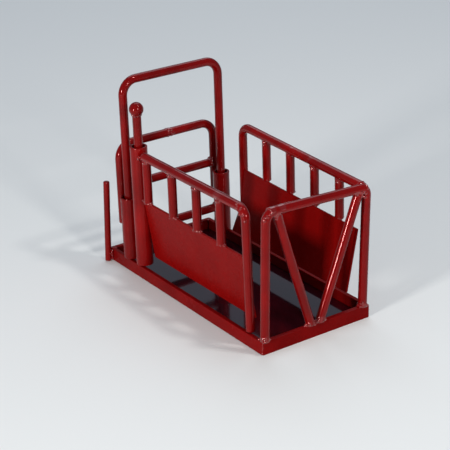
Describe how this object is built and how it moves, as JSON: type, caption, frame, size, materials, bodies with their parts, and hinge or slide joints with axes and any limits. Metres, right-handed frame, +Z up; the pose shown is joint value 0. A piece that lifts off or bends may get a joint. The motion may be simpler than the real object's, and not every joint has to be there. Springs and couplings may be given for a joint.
{
  "type": "toy cattle squeeze chute",
  "caption": "Toy cattle squeeze chute in glossy dark red enamel: flat-bar base, sheet sides, arch with a sliding head gate, hinged side panel and braced rear gate.",
  "frame": {"origin": "middle of the base rectangle, on the surface that the base stands on", "axes": "+X to the braced rear gate, -X to the arch and sliding gate, -Y to the hinged near panel, +Y to the fixed far panel, +Z up"},
  "size_m": [0.1971, 0.0982, 0.1488],
  "materials": {
    "rod_enamel": "glossy",
    "tube_enamel": "glossy",
    "sheet_enamel": "glossy",
    "base_enamel": "glossy"
  },
  "bodies": {
    "chute_frame": {"floor_plate": "base_enamel", "base_rail_near": "base_enamel", "base_rail_far": "base_enamel", "base_rail_rear": "base_enamel", "base_rail_front": "base_enamel", "connector_post": "rod_enamel", "arch": "rod_enamel", "hinge_pin": "rod_enamel", "pin_ball": "rod_enamel", "far_panel_frame": "rod_enamel", "far_panel_bar_1": "rod_enamel", "far_panel_bar_2": "rod_enamel", "far_panel_bar_3": "rod_enamel", "far_panel_bar_4": "rod_enamel", "far_panel_sheet": "sheet_enamel", "rear_gate_frame": "rod_enamel", "rear_brace_near": "rod_enamel", "rear_brace_far": "rod_enamel"},
    "sliding_gate": {"gate_sleeve_near": "tube_enamel", "gate_sleeve_far": "tube_enamel", "gate_frame_near": "rod_enamel", "gate_frame_far": "rod_enamel", "gate_middle_bar": "rod_enamel", "gate_lower_bar": "rod_enamel"},
    "hinge_sleeve": {"panel_sleeve": "tube_enamel"},
    "side_panel": {"near_panel_frame": "rod_enamel", "near_panel_front_leg": "rod_enamel", "near_panel_bar_1": "rod_enamel", "near_panel_bar_2": "rod_enamel", "near_panel_bar_3": "rod_enamel", "near_panel_sheet": "sheet_enamel"}
  },
  "joints": [
    {"name": "gate_slide", "type": "slide", "parent": "chute_frame", "child": "sliding_gate", "axis": [0, 0, 1], "range_m": [0, 0.075]},
    {"name": "panel_lift", "type": "slide", "parent": "chute_frame", "child": "hinge_sleeve", "axis": [0, 0, 1], "range_m": [0, 0.021]},
    {"name": "panel_swing", "type": "hinge", "parent": "hinge_sleeve", "child": "side_panel", "pos_m": [-0.0559, -0.04, 0.05], "axis": [0, 0, 1], "range_deg": [-115, 20]}
  ]
}
